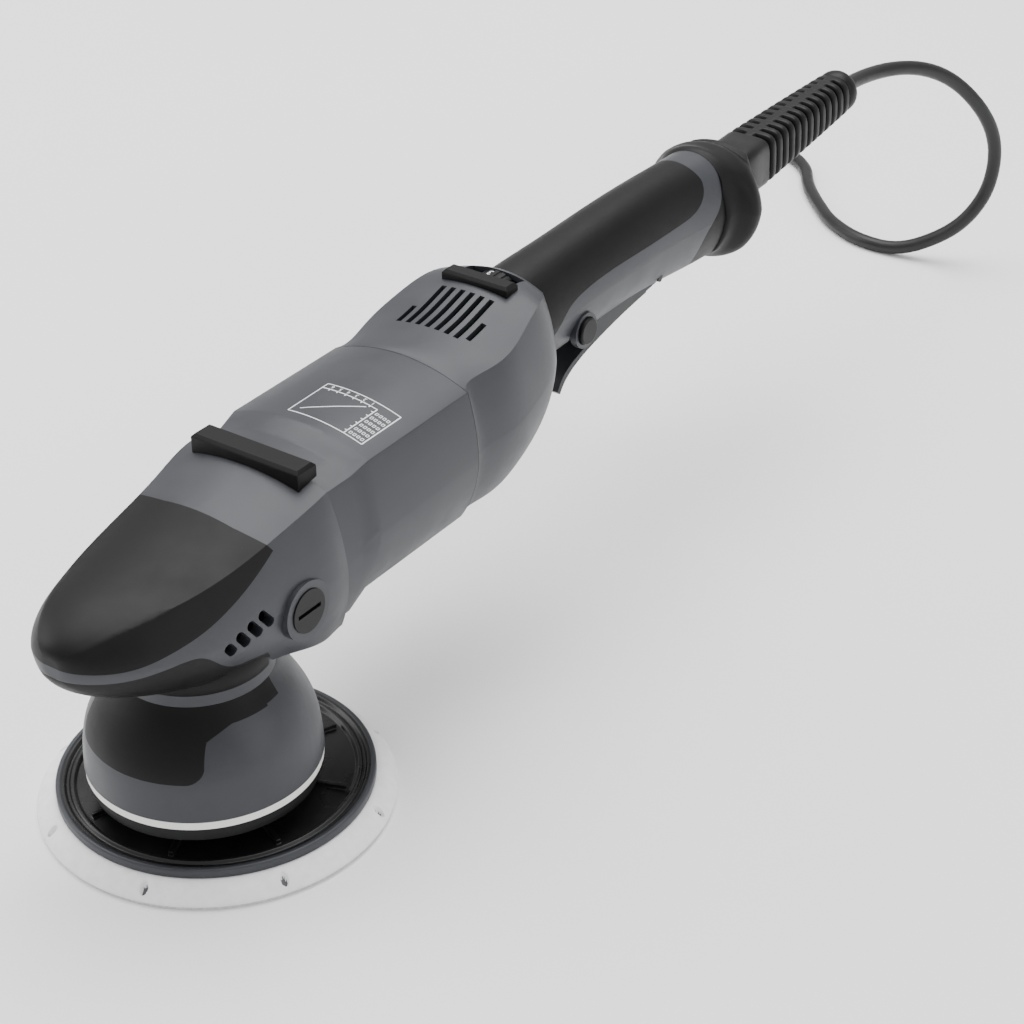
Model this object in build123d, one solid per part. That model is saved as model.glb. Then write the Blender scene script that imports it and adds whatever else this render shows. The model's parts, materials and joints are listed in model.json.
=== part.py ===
from build123d import *
import os
from math import atan2, cos, degrees, radians, sin, tan

# Dual action polisher, in millimetres.
# +Z is up, the hook face of the pad lies on z = 0, the drive spindle turns about the Z axis,
# and the tool runs along +Y from its nose to its handle. The plane x = 0 is its symmetry plane.

os.makedirs("parts", exist_ok=True)

# ---------------------------------------------------------------- driving dimensions

# Orbit: the pad turns about an axis set off from the drive spindle's.
ORBIT_OFFSET = 10.5
ORBIT_ANGLE = 111.9
PAD_X = ORBIT_OFFSET * cos(radians(ORBIT_ANGLE))
PAD_Y = ORBIT_OFFSET * sin(radians(ORBIT_ANGLE))

# Pad and backing plate.
PAD_RADIUS = 75.0
HOOK_THICKNESS = 1.6
PLATE_LOW = 9.3
PLATE_RIM_TOP = 13.3
PLATE_RADIUS = 66.2
FOAM_TOP_RADIUS = 66.9
PAD_BORE_RADIUS = 9.0
FOAM_HOLES = 8
FOAM_HOLE_RADIUS = 1.5
FOAM_HOLE_CIRCLE = 70.6

# Shroud over the orbit.
SHROUD_LOW = 31.4
SEAL_LOW = 27.8
SHROUD_HIGH = 75.0
SHROUD_RADIUS = 48.9
SHROUD_WALL = 2.8
NECK_RADIUS = 32.0
NECK_TOP = 80.5

# Spindle train.
SPINDLE_RADIUS = 8.5
SPINDLE_TOP = 104.0
BEARING_GAP = 0.05
PAD_SPINDLE_RADIUS = 6.0

# Motor axis, parallel to Y.
MOTOR_Z = 115.0
SHAFT_RADIUS = 5.0
CORE_RADIUS = 19.5
STATOR_RADIUS = 33.5
STATOR_BORE = 20.4

# Bevel pair.
GEAR_TEETH = 33
PINION_TEETH = 11
GEAR_PITCH_RADIUS = 26.4
GEAR_FACE = 7.5

# Housings.
WALL = 2.8
RUBBER = 2.2
SEAM_MIDDLE_Y = 50.0
SEAM_MIDDLE_Z = 109.0
SEAM_LEAN = 9.3
REAR_SEAM_Y = 137.0
HANDLE_START = 211.0
HANDLE_END = 372.0
HANDLE_PARTING_Z = 135.0

# Controls.
TRIGGER_PIVOT_Y = 318.0
TRIGGER_PIVOT_Z = 118.5
TRIGGER_HALF = 12.0
LOCK_Y = 247.0
LOCK_Z = 122.5
LOCK_RADIUS = 6.4
DIAL_Y = 204.5
DIAL_Z = 149.6
DIAL_RADIUS = 13.2
DIAL_WIDTH = 7.4

# Strain relief and cord.
RELIEF_START = (0.0, 388.0, 137.03)
RELIEF_RISE = 3.2
RELIEF_LENGTH = 132.0
CORD_RADIUS = 4.0


# ---------------------------------------------------------------- helpers

def save(name, shape):
    """Write one node."""
    export_step(shape, "parts/" + name + ".step")


def place(shape, x=0.0, y=0.0, z=0.0):
    """Move a shape."""
    return Pos(x, y, z) * shape


def disc(radius, low, high, x=0.0, y=0.0):
    """Solid cylinder on a vertical axis, from low to high."""
    return Pos(x, y, (low + high) / 2) * Cylinder(radius, high - low)


def ring(outer, inner, low, high, x=0.0, y=0.0):
    """Hollow cylinder on a vertical axis."""
    return disc(outer, low, high, x, y) - disc(inner, low - 1, high + 1, x, y)


def barrel(radius, start, end, z=MOTOR_Z, x=0.0):
    """Solid cylinder on an axis parallel to Y."""
    return Pos(x, (start + end) / 2, z) * Rot(90, 0, 0) * Cylinder(radius, end - start)


def hoop(outer, inner, start, end, z=MOTOR_Z):
    """Hollow cylinder on an axis parallel to Y."""
    return barrel(outer, start, end, z) - barrel(inner, start - 1, end + 1, z)


def cross_rod(radius, left, right, y, z):
    """Solid cylinder on an axis parallel to X."""
    return Pos((left + right) / 2, y, z) * Rot(0, 90, 0) * Cylinder(radius, right - left)


def block(low, high):
    """Box between two corners."""
    size = [b - a for a, b in zip(low, high)]
    middle = [(a + b) / 2 for a, b in zip(low, high)]
    return Pos(*middle) * Box(*size)


def turned(profile):
    """Solid of revolution about Z from a closed outline of (radius, height) points."""
    face = Plane.XZ * make_face(Polyline(*profile, close=True))
    return revolve(face, Axis.Z)


def side_slab(edges, half=60.0):
    """Solid that fills a closed side outline, drawn in (y, z), across the tool's width."""
    return extrude(Plane.YZ * make_face(edges), half, both=True)


def section(y, half, low, high, shoulder, hip, inset=0.0):
    """Closed outline across the tool: crowned top, side walls that lean in, rounded bottom."""
    half = half - inset
    low = low + inset
    high = high - inset
    corner = 0.85 * inset
    top_x, top_z = shoulder[0] - corner, shoulder[1] - corner
    base_x, base_z = hip[0] - corner, hip[1] + corner
    waist = (top_z + base_z) / 2
    bulge = 0.72
    upper_x = top_x + bulge * (half - top_x)
    lower_x = base_x + bulge * (half - base_x)
    upper_z = (top_z + waist) / 2
    lower_z = (base_z + waist) / 2
    return Wire(
        [
            ThreePointArc((-top_x, y, top_z), (0, y, high), (top_x, y, top_z)),
            ThreePointArc((top_x, y, top_z), (upper_x, y, upper_z), (half, y, waist)),
            ThreePointArc((half, y, waist), (lower_x, y, lower_z), (base_x, y, base_z)),
            ThreePointArc((base_x, y, base_z), (0, y, low), (-base_x, y, base_z)),
            ThreePointArc((-base_x, y, base_z), (-lower_x, y, lower_z), (-half, y, waist)),
            ThreePointArc((-half, y, waist), (-upper_x, y, upper_z), (-top_x, y, top_z)),
        ]
    )


def skin(rows, inset=0.0, ruled=False):
    """Solid through a list of sections, drawn in by inset on every side but the two ends."""
    return Part() + Solid.make_loft([section(*row, inset=inset) for row in rows], ruled)


def coil_spring(radius, wire, turns, length):
    """Helical spring along Z from z = 0."""
    path = Helix(length / turns, length, radius)
    return sweep(Plane(path @ 0, z_dir=path % 0) * Circle(wire), path)


def ball_bearing(bore, outer, width):
    """Two races and their balls about Z, centred on the origin."""
    mean = (bore + outer) / 2
    ball = (outer - bore) * 0.27
    track = Torus(mean, ball + 0.1)
    inner_race = Cylinder(mean - ball * 0.55, width) - Cylinder(bore, width + 2) - track
    outer_race = Cylinder(outer, width) - Cylinder(mean + ball * 0.55, width + 2) - track
    balls = [Pos(p) * Sphere(ball) for p in ball_places(mean, ball)]
    return Compound([inner_race.solid(), outer_race.solid()] + [b.solid() for b in balls])


def ball_places(mean, ball):
    """Points round a bearing's pitch circle, with a small gap between balls."""
    count = int(6.28 * mean / (2.5 * ball))
    return [(mean * cos(6.2832 * i / count), mean * sin(6.2832 * i / count), 0) for i in range(count)]


def screw_hole(x, y, seat):
    """Room for a screw driven upwards, with its head below the seat height."""
    return disc(3.3, seat - 12, seat + 2.3, x, y) + disc(1.6, seat, seat + 15, x, y)


def cross_screw(x, y, seat):
    """Pan-head screw driven upwards, with a cross recess."""
    screw = disc(3.1, seat, seat + 2.2, x, y) + disc(1.5, seat + 2, seat + 13, x, y)
    screw -= block((x - 2, y - 0.4, seat - 1), (x + 2, y + 0.4, seat + 1.2))
    screw -= block((x - 0.4, y - 2, seat - 1), (x + 0.4, y + 2, seat + 1.2))
    return screw.solid()


# ---------------------------------------------------------------- head

# Each row: y, half width, lowest, highest, shoulder (x, z), hip (x, z).
HEAD_ROWS = [
    (-74.6, 3.5, 110, 118.5, (2.5, 117.5), (2.5, 111.2)),
    (-73.2, 9.5, 106, 122, (6.8, 120.5), (6.8, 108.0)),
    (-68, 17.5, 100.5, 126, (12, 123.6), (12, 104.0)),
    (-58, 25.5, 94, 130, (18, 126.8), (17, 98.5)),
    (-42, 32, 87, 133, (24, 128.8), (21, 92)),
    (-22, 36.5, 81, 135.5, (29, 130.5), (25, 86)),
    (0, 38.5, 76.5, 139, (32, 133.5), (28, 81.5)),
    (22, 39.8, 72, 143.5, (34, 138), (30, 77)),
    (44, 40.5, 68, 149, (35.4, 143), (31, 72)),
    (64, 40.7, 67.5, 152, (35.4, 145.5), (31, 71.5)),
]

VENT_Y = [-17.5, -11.2, -4.9, 1.4]
VENT_Z = [104.2, 105.7, 107.2, 108.7]
VENT_LENGTH = [8.0, 10.0, 10.5, 10.5]
VENT_WIDTH = 4.2
VENT_SLANT = 38.0
SOCKET_Y = 23.0
SOCKET_Z = 101.5
SOCKET_BOSS = 12.9
SOCKET_PLUG = 9.4
SOCKET_FACE = 41.6


def seam_side(forward):
    """Half space in front of, or behind, the leaning seam between head and motor."""
    sign = -1 if forward else 1
    slab = Pos(0, sign * 200, 0) * Box(300, 400, 400)
    return Pos(0, SEAM_MIDDLE_Y, SEAM_MIDDLE_Z) * Rot(SEAM_LEAN, 0, 0) * slab


def upper_rubber_region():
    """Everything above the lip line of the nose and in front of the rubber's rear edge."""
    lip = Spline((-90, 115.5), (-72, 114.8), (-58, 114), (-44, 115), (-30, 117), (-15, 120.8), (0, 126.3), (12.5, 132.5))
    back = Polyline((12.5, 132.5), (8.5, 139), (8.5, 165), (-90, 165), (-90, 115.5))
    return side_slab([lip, back])


def lower_rubber_region():
    """Everything under the grey lip band, back to the neck."""
    edge = Spline((-90, 110.5), (-72, 110), (-58, 109.2), (-44, 109.4), (-32, 108), (-24, 101.5), (-16, 94.5), (-6, 91))
    back = Polyline((-6, 91), (6, 88.5), (9, 84.5), (9, NECK_TOP), (-90, NECK_TOP), (-90, 110.5))
    return side_slab([edge, back])


def vent_cutters():
    """The slanted exhaust vents, through both side walls."""
    cutters = Part()
    for y, z, length in zip(VENT_Y, VENT_Z, VENT_LENGTH):
        slot = Rot(0, 90, 0) * extrude(SlotOverall(length, VENT_WIDTH), 60, both=True)
        cutters += Pos(0, y, z) * Rot(VENT_SLANT, 0, 0) * slot
    return cutters


def make_head():
    outer = skin(HEAD_ROWS)
    under_rubber = skin(HEAD_ROWS[1:], RUBBER)
    cavity = skin(HEAD_ROWS[2:], RUBBER + WALL)
    rind = outer - under_rubber
    upper = rind & upper_rubber_region()
    lower = rind & lower_rubber_region()
    lower -= disc(NECK_RADIUS, 60, NECK_TOP + 8)
    bosses = cross_rod(SOCKET_BOSS, 33, 41.0, SOCKET_Y, SOCKET_Z)
    bosses += cross_rod(SOCKET_BOSS, -41.0, -33, SOCKET_Y, SOCKET_Z)
    body = (outer & seam_side(True)) + disc(NECK_RADIUS, SHROUD_HIGH, NECK_TOP + 8) + bosses
    body = body - upper - lower - cavity - vent_cutters()
    body -= disc(NECK_RADIUS - WALL, 60, 92)
    plugs = []
    for side in (-1, 1):
        reach = sorted([side * 36.2, side * SOCKET_FACE])
        bore = sorted([side * 30, side * 50])
        body -= cross_rod(SOCKET_PLUG + 0.1, bore[0], bore[1], SOCKET_Y, SOCKET_Z)
        plug = cross_rod(SOCKET_PLUG, reach[0], reach[1], SOCKET_Y, SOCKET_Z)
        groove = Pos(side * SOCKET_FACE, SOCKET_Y, SOCKET_Z) * Box(3.0, 13.5, 1.8)
        plugs.append((plug - groove).solid())
    save("gear_housing", max(body.solids(), key=lambda s: s.volume))
    save("nose_rubber_upper", max(upper.solids(), key=lambda s: s.volume))
    save("nose_rubber_lower", max(lower.solids(), key=lambda s: s.volume))
    save("side_socket_plugs", Compound(plugs))


# ---------------------------------------------------------------- shroud

WEB_HALF = 4.0


def shroud_profile(inset=0.0):
    """Half outline of the shroud's dome, from its rim to its neck."""
    rows = [(SHROUD_RADIUS, SHROUD_LOW), (48.5, 39), (46.8, 49.5), (43.4, 58), (38.8, 65.5), (34.6, 71), (NECK_RADIUS, SHROUD_HIGH)]
    return [(radius - inset, height - 0.4 * inset) for radius, height in rows]


def dome(inset=0.0):
    """Solid dome of revolution inside the shroud's outline, drawn in by inset."""
    rows = shroud_profile(inset)
    base = Polyline(rows[-1], (0, rows[-1][1]), (0, rows[0][1]), rows[0])
    return revolve(Plane.XZ * make_face([Spline(*rows), base]), Axis.Z)


INLAY_LOW = 48.4
COLLAR_LOW = 68.6


def inlay_region():
    """Front panel of the shroud, with a collar that runs back round its neck."""
    side = [(32.6, INLAY_LOW), (29.0, 63.5), (33.0, COLLAR_LOW - 0.8), (60, COLLAR_LOW), (60, 80)]
    outline = make_face(Polyline(*side, *[(-x, z) for x, z in reversed(side)], close=True))
    outline = fillet(outline.vertices().group_by(Axis.Y)[0], 5.0)
    front = extrude(Plane.XZ * outline, 60)
    collar = block((-60, -1, COLLAR_LOW), (60, 8, SHROUD_HIGH))
    return front + collar


def make_shroud():
    throat = disc(NECK_RADIUS - WALL, 60, 90)
    outer = dome()
    inlay = (outer - dome(1.2) - throat) & inlay_region()
    shell = outer - dome(SHROUD_WALL) - throat - inlay
    web = extrude(Plane.YZ * make_face(Polyline((30, 36), (49.6, 32), (55.5, 31.6), (57, 34), (38, 67), (20, 70), close=True)),
                  WEB_HALF, both=True)
    web -= dome(-0.1)
    head = skin(HEAD_ROWS)
    shell -= head
    inlay -= head
    save("shroud", max(shell.solids(), key=lambda s: s.volume))
    save("shroud_front_inlay", max(inlay.solids(), key=lambda s: s.volume))
    save("shroud_rear_web", max(web.solids(), key=lambda s: s.volume))
    save("shroud_seal_ring", ring(SHROUD_RADIUS - 0.3, 45.5, SEAL_LOW, SHROUD_LOW))
    lip = [(45.5, SEAL_LOW), (48.0, SEAL_LOW), (48.0, 24.2), (47.2, 24.0), (47.2, 21.6), (46.7, 21.2), (45.5, 21.2)]
    save("shroud_lip_ring", turned(lip))


# ---------------------------------------------------------------- motor housing and rear housing

MOTOR_ROWS = [
    (38, 38.5, 72.5, 147.5, (34.0, 141.5), (30, 76.5)),
    (60, 38.5, 72.5, 147.5, (34.0, 141.5), (30, 76.5)),
    (71, 40.5, 77.5, 151.5, (35.4, 144.5), (30, 82)),
    (REAR_SEAM_Y, 40.5, 78, 152.6, (35.4, 145), (30, 82.5)),
]
REAR_ROWS = [
    (REAR_SEAM_Y, 40.5, 78, 152.6, (35.4, 145), (30, 82.5)),
    (160, 40, 79, 155.5, (35, 149), (29.5, 83.5)),
    (180, 39, 81, 160, (33.5, 154.5), (28, 86)),
    (195, 36.5, 85, 163.5, (30, 158.5), (25.5, 90)),
    (206, 32.5, 91, 163.5, (25.5, 158.5), (22, 96)),
    (213, 26, 99, 161, (19, 156), (17, 104)),
    (217, 18, 108, 157.5, (12.5, 153), (11, 112)),
]
REAR_WALL = 2.6
FRONT_BAR = ((-27.7, 36.6, 143.0), (27.7, 48.0, 152.6))
REAR_BAR = ((-17.5, 190.0, 157.0), (17.5, 198.5, 166.0))
TOP_VENTS = 8
TOP_VENT_PITCH = 5.1
TOP_VENT_FRONT = 159.0
TOP_VENT_BACK = 186.0
TOP_VENT_SHORT = 12.0
TOP_VENT_WIDTH = 2.6
REAR_SCREW_X = 21.0
REAR_SCREW_Y = 174.0
REAR_SCREW_Z = 84.6
DIAL_WINDOW = ((-14.0, 200.2, 150.0), (14.0, 208.8, 175.0))


def make_motor_housing():
    shell = skin(MOTOR_ROWS, ruled=True) - skin(MOTOR_ROWS, WALL, ruled=True)
    ends = block((-60, 30, 60), (60, 60, 170)) & seam_side(False)
    shell = shell & (ends + block((-60, 60, 60), (60, REAR_SEAM_Y, 170)))
    save("motor_housing", max(shell.solids(), key=lambda s: s.volume))


def rest_bar(corners):
    """Soft bar across the top that keeps the body off the bench, with chamfered top edges."""
    bar = block(*corners)
    return chamfer(bar.edges().group_by(Axis.Z)[-1], 1.4)


def make_rest_bars():
    front = rest_bar(FRONT_BAR) - skin(HEAD_ROWS) - skin(MOTOR_ROWS, ruled=True)
    rear = rest_bar(REAR_BAR) - skin(REAR_ROWS)
    save("front_rest_bar", max(front.solids(), key=lambda s: s.volume))
    save("rear_rest_bar", max(rear.solids(), key=lambda s: s.volume))


def parting_region():
    """Everything above the rear housing's curved parting line."""
    line = Spline((130, 116), (162, 117.6), (181, 120.5), (194, 126.5), (204, 138), (212, 153))
    over = Polyline((212, 153), (212, 190), (130, 190), (130, 116))
    return side_slab([line, over])


def top_vent_cutters():
    cutters = Part()
    for i in range(TOP_VENTS):
        x = (i - (TOP_VENTS - 1) / 2) * TOP_VENT_PITCH
        front = TOP_VENT_FRONT if i < TOP_VENTS - 1 else TOP_VENT_FRONT + 2
        back = front + TOP_VENT_SHORT if i in (0, TOP_VENTS - 1) else TOP_VENT_BACK
        half = TOP_VENT_WIDTH / 2
        cutters += block((x - half, front, 147), (x + half, back, 175))
    return cutters


def make_rear_housing():
    outer = skin(REAR_ROWS)
    cavity = skin(REAR_ROWS, REAR_WALL)
    shell = outer - cavity - skin(HANDLE_ROWS) - top_vent_cutters() - block(*DIAL_WINDOW)
    region = parting_region()
    upper = shell & region
    lower = shell - region
    for x in (-REAR_SCREW_X, REAR_SCREW_X):
        lower += disc(4.5, 82, 112, x, REAR_SCREW_Y) & skin(REAR_ROWS, REAR_WALL - 0.5)
        lower -= screw_hole(x, REAR_SCREW_Y, REAR_SCREW_Z)
    save("rear_housing_upper", max(upper.solids(), key=lambda s: s.volume))
    save("rear_housing_lower", max(lower.solids(), key=lambda s: s.volume))


# ---------------------------------------------------------------- handle

HANDLE_ROWS = [
    (HANDLE_START, 21, 110, 159.5, (14.8, 152.5), (14, 114)),
    (240, 20.5, 113, 161, (14.5, 154), (14, 117)),
    (270, 20, 114, 162, (14.1, 155), (14, 118)),
    (300, 20, 114, 163, (14.1, 155.8), (14, 118)),
    (330, 20.2, 111.5, 163, (14.3, 155.4), (14, 115.5)),
    (350, 21, 109.5, 162.3, (14.8, 154.7), (14.5, 114)),
    (HANDLE_END, 22.3, 108, 161.5, (15.8, 153.6), (15.5, 113.5)),
]
POMMEL_ROWS = [
    (366, 22.2, 108.4, 161.6, (15.7, 153.7), (15.5, 113.7)),
    (371, 25, 106.8, 161.8, (17.7, 154), (17.7, 114.5)),
    (376, 29, 104.2, 161.8, (20.5, 153.5), (20.5, 112.5)),
    (380, 31.6, 102.7, 161.2, (22.4, 152.6), (22.4, 111.3)),
    (384, 31.6, 102.9, 161, (22.4, 152.5), (22.4, 111.4)),
    (388, 29.5, 105, 159.6, (21, 152), (21, 113)),
    (392, 24.5, 111, 157.6, (17.8, 152.6), (17.8, 116)),
    (396, 20, 117, 156, (15.4, 153.2), (15.4, 120.5)),
]
HANDLE_WALL = 3.0
CLAMP_Y = 337.5
CLAMP_Z = 127.5
HANDLE_SCREW_Y = 338.0
HANDLE_SCREW_Z = 113.4


def rubber_region():
    """Side outline of the soft grip cover on the handle's upper shell."""
    low = Spline((205, 128), (222, 131), (232, 138), (248, 142), (296, 143), (330, 143), (345, 145), (353, 150.5), (355, 156))
    over = Polyline((355, 156), (352, 170), (205, 170), (205, 128))
    return side_slab([low, over])


def pommel_region():
    """Everything behind the pommel's front edge, which runs forward under the handle."""
    edge = Spline((372, 180), (369, 160), (366.5, 148), (362, 140), (352, 131.5), (347, 122), (345.5, 95))
    back = Polyline((345.5, 95), (440, 95), (440, 180), (372, 180))
    return side_slab([edge, back])


def make_handle():
    outer = skin(HANDLE_ROWS)
    cavity = skin(HANDLE_ROWS, HANDLE_WALL + 1.2)
    rubber = (outer - skin(HANDLE_ROWS, RUBBER)) & rubber_region()
    shell = outer - cavity - rubber - pommel_region()
    top = block((-60, HANDLE_START, HANDLE_PARTING_Z), (60, HANDLE_END, 190))
    upper = shell & top
    lower = shell - top
    gate = TRIGGER_HALF + 0.8
    lower -= block((-gate, 234, 100), (gate, TRIGGER_PIVOT_Y + 8, 124.0))
    lower -= cross_rod(LOCK_RADIUS + 0.35, 5, 30, LOCK_Y, LOCK_Z)
    collar = cross_rod(LOCK_RADIUS + 2.2, 17.6, 20.8, LOCK_Y, LOCK_Z)
    lower += collar - cross_rod(LOCK_RADIUS + 0.35, 5, 30, LOCK_Y, LOCK_Z)
    lower += block((-15.5, CLAMP_Y - 4.5, 98), (-8, CLAMP_Y + 4.5, CLAMP_Z)) & skin(HANDLE_ROWS, HANDLE_WALL)
    lower += block((8, CLAMP_Y - 4.5, 98), (15.5, CLAMP_Y + 4.5, CLAMP_Z)) & skin(HANDLE_ROWS, HANDLE_WALL)
    lower += disc(4.5, 100, 126, 0, HANDLE_SCREW_Y) & skin(HANDLE_ROWS, HANDLE_WALL)
    lower -= screw_hole(0, HANDLE_SCREW_Y, HANDLE_SCREW_Z)
    lower -= cross_rod(1.85, -16, 16, TRIGGER_PIVOT_Y, TRIGGER_PIVOT_Z)
    save("grip_rubber", max(rubber.solids(), key=lambda s: s.volume))
    save("handle_shell_upper", max(upper.solids(), key=lambda s: s.volume))
    save("handle_shell_lower", max(lower.solids(), key=lambda s: s.volume))
    bell = (outer + skin(POMMEL_ROWS)) & pommel_region()
    bell -= cavity + skin(POMMEL_ROWS[:5], 5.0)
    bell -= block((-13.4, HANDLE_END, 123.6), (13.4, 400, 151.2))
    save("pommel", max(bell.solids(), key=lambda s: s.volume))


# ---------------------------------------------------------------- strain relief

RIBS = 13
RIB_PITCH = 6.6
RIB_THICKNESS = 3.4
RELIEF_BLOCK = 36.0


def make_strain_relief():
    """Square root block, then square ribs that shrink along a round core, then an end collar."""
    body = extrude(RectangleRounded(26, 26, 6), RELIEF_BLOCK)
    core = Pos(0, 0, RELIEF_LENGTH / 2) * Cylinder(7.0, RELIEF_LENGTH)
    body += core
    for i in range(RIBS):
        size = 25.5 - 0.35 * i
        start = RELIEF_BLOCK + 1.6 + i * RIB_PITCH
        body += Pos(0, 0, start) * extrude(RectangleRounded(size, size, 6), RIB_THICKNESS)
    collar = Pos(0, 0, RELIEF_LENGTH - 4.5) * Cylinder(11.5, 9.0)
    body += fillet(collar.edges(), 3.0)
    body = Pos(*RELIEF_START) * Rot(RELIEF_RISE - 90, 0, 0) * body
    save("strain_relief", body.solid())


# ---------------------------------------------------------------- spindle train

GEAR_CONE = degrees(atan2(GEAR_TEETH, PINION_TEETH))
MODULE = 2 * GEAR_PITCH_RADIUS / GEAR_TEETH
TOOTH_FILL = 0.42
ADDENDUM = 0.85
DEDENDUM = 1.2
CONE_LENGTH = GEAR_PITCH_RADIUS / sin(radians(GEAR_CONE))
INNER_SCALE = (CONE_LENGTH - GEAR_FACE) / CONE_LENGTH


def cone_point(cone, azimuth, rise, aside, scale):
    """Point of a tooth's outline on the back cone, with the cone's apex at the origin."""
    radius = CONE_LENGTH * sin(cone) + rise * cos(cone)
    height = -CONE_LENGTH * cos(cone) + rise * sin(cone)
    x = radius * cos(azimuth) - aside * sin(azimuth)
    y = radius * sin(azimuth) + aside * cos(azimuth)
    return (x * scale, y * scale, height * scale)


def bevel_tooth(cone, azimuth, tip_trim):
    """One straight tooth that tapers towards the cone's apex."""
    half = TOOTH_FILL * 3.1416 * MODULE / 2
    slope = tan(radians(20))
    heights = [-DEDENDUM * MODULE - 0.8, 0.0, ADDENDUM * MODULE]
    widths = [half + DEDENDUM * MODULE * slope, half, half - ADDENDUM * MODULE * slope - tip_trim]
    ends = []
    for scale in (1.0, INNER_SCALE):
        right = [cone_point(cone, azimuth, h, w, scale) for h, w in zip(heights, widths)]
        left = [cone_point(cone, azimuth, h, -w, scale) for h, w in zip(heights, widths)]
        ends.append(Wire.make_polygon(right + left[::-1]))
    return Solid.make_loft(ends, True)


def bevel_wheel(teeth, cone_angle, bore, back, hub_radius, phase, tip_trim=0.0):
    """Bevel gear with its apex at the origin and its back towards -Z."""
    cone = radians(cone_angle)
    root = -DEDENDUM * MODULE
    rim = (CONE_LENGTH * sin(cone) + root * cos(cone), -CONE_LENGTH * cos(cone) + root * sin(cone))
    nose = (rim[0] * INNER_SCALE, rim[1] * INNER_SCALE)
    outline = [rim, nose, (bore, nose[1]), (bore, back), (hub_radius, back), (rim[0], rim[1] - 1.2)]
    wheel = turned(outline)
    for i in range(teeth):
        wheel += bevel_tooth(cone, phase + 6.283185 * i / teeth, tip_trim)
    return wheel


def make_spindle_train():
    spindle = disc(SPINDLE_RADIUS, 47.6, 80) + disc(7.5, 80, SPINDLE_TOP + 2) + disc(11, 61, 63.6)
    save("drive_spindle", spindle.solid())
    gear = bevel_wheel(GEAR_TEETH, GEAR_CONE, 7.55, -17.0, 16.0, 1.570796 + 3.141593 / GEAR_TEETH)
    save("bevel_gear", place(gear, z=MOTOR_Z).solid())
    hub = disc(19.5, 33.5, 47.5, PAD_X, PAD_Y) + disc(13.0, 46.0, 60.5)
    swing = Rot(0, 0, ORBIT_ANGLE + 180) * Pos(25, 0, 42) * Box(34, 62, 14)
    mass = ring(40.0, 23.0, 36.0, 48.0) & swing
    web = disc(24.0, 44.6, 48.0)
    weight = hub + mass + web
    weight -= disc(16.05, 30, 44.3, PAD_X, PAD_Y) + disc(SPINDLE_RADIUS + 0.05, 47.5, 62)
    save("counterweight", weight.solid())
    orbit = ball_bearing(PAD_SPINDLE_RADIUS, 16.0, 10.0)
    save("orbit_bearing", place(orbit, PAD_X, PAD_Y, 39.0))
    lower = ball_bearing(SPINDLE_RADIUS + BEARING_GAP, 20.0, 12.0)
    upper = ball_bearing(7.5 + BEARING_GAP, 16.0, 9.0)
    save("spindle_bearing_lower", place(lower, z=70.0))
    save("spindle_bearing_upper", place(upper, z=89.5))
    case = [(24.5, 62), (24.5, 94), (28.6, 94), (28.6, 96.5), (16.05, 96.5), (16.05, 85.0), (12.5, 85.0),
            (12.5, 76.05), (20.05, 76.05), (20.05, 62)]
    save("gear_case", turned(case))


# ---------------------------------------------------------------- pad

PLATE_RIBS = 8


def pad_turned(profile):
    """Solid of revolution about the pad's own axis."""
    return place(turned(profile), PAD_X, PAD_Y)


def make_pad():
    plate = pad_turned([
        (8.2, PLATE_LOW), (PLATE_RADIUS, PLATE_LOW), (PLATE_RADIUS, 12.4), (65.4, PLATE_RIM_TOP),
        (62.8, PLATE_RIM_TOP), (61.8, 11.9), (60.8, 11.9), (60.0, 13.0), (58.8, 13.0), (57.6, 11.3),
        (30, 12.0), (20, 14.5), (16, 21), (16, 29), (4.05, 29), (4.05, 20), (8.2, 20),
    ])
    for i in range(PLATE_RIBS):
        rib = Rot(0, 0, 360 / PLATE_RIBS * (i + 0.5)) * Pos(46, 0, 12.2) * Box(20, 2.0, 2.2)
        plate += place(rib, PAD_X, PAD_Y)
    save("backing_plate", plate.solid())
    foam = pad_turned([
        (PAD_BORE_RADIUS, HOOK_THICKNESS), (PAD_RADIUS, HOOK_THICKNESS), (PAD_RADIUS, 2.6),
        (FOAM_TOP_RADIUS, PLATE_LOW), (PAD_BORE_RADIUS, PLATE_LOW),
    ])
    for i in range(FOAM_HOLES):
        angle = radians(360 / FOAM_HOLES * i + 17.7)
        x = PAD_X + FOAM_HOLE_CIRCLE * cos(angle)
        y = PAD_Y + FOAM_HOLE_CIRCLE * sin(angle)
        foam -= disc(FOAM_HOLE_RADIUS, 2.4, 12, x, y)
    save("pad_foam", foam.solid())
    save("hook_face", ring(74.0, PAD_BORE_RADIUS, 0, HOOK_THICKNESS, PAD_X, PAD_Y))
    shaft = disc(PAD_SPINDLE_RADIUS - BEARING_GAP, 29, 43.8, PAD_X, PAD_Y) + disc(10, 29, 33.2, PAD_X, PAD_Y)
    shaft -= disc(4.05, 28, 41, PAD_X, PAD_Y)
    save("pad_spindle", shaft.solid())
    screw = disc(3.95, 19.9, 40, PAD_X, PAD_Y) + disc(6.6, 12.5, 19.95, PAD_X, PAD_Y)
    socket = extrude(RegularPolygon(3.0, 6), 4.0)
    screw -= place(socket, PAD_X, PAD_Y, 12.4)
    save("plate_screw", screw.solid())


# ---------------------------------------------------------------- motor

STATOR_FRONT = 85.0
STATOR_BACK = 125.0
FAN_BLADES = 15
CORE_SLOTS = 12
COMMUTATOR_BARS = 24


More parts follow.
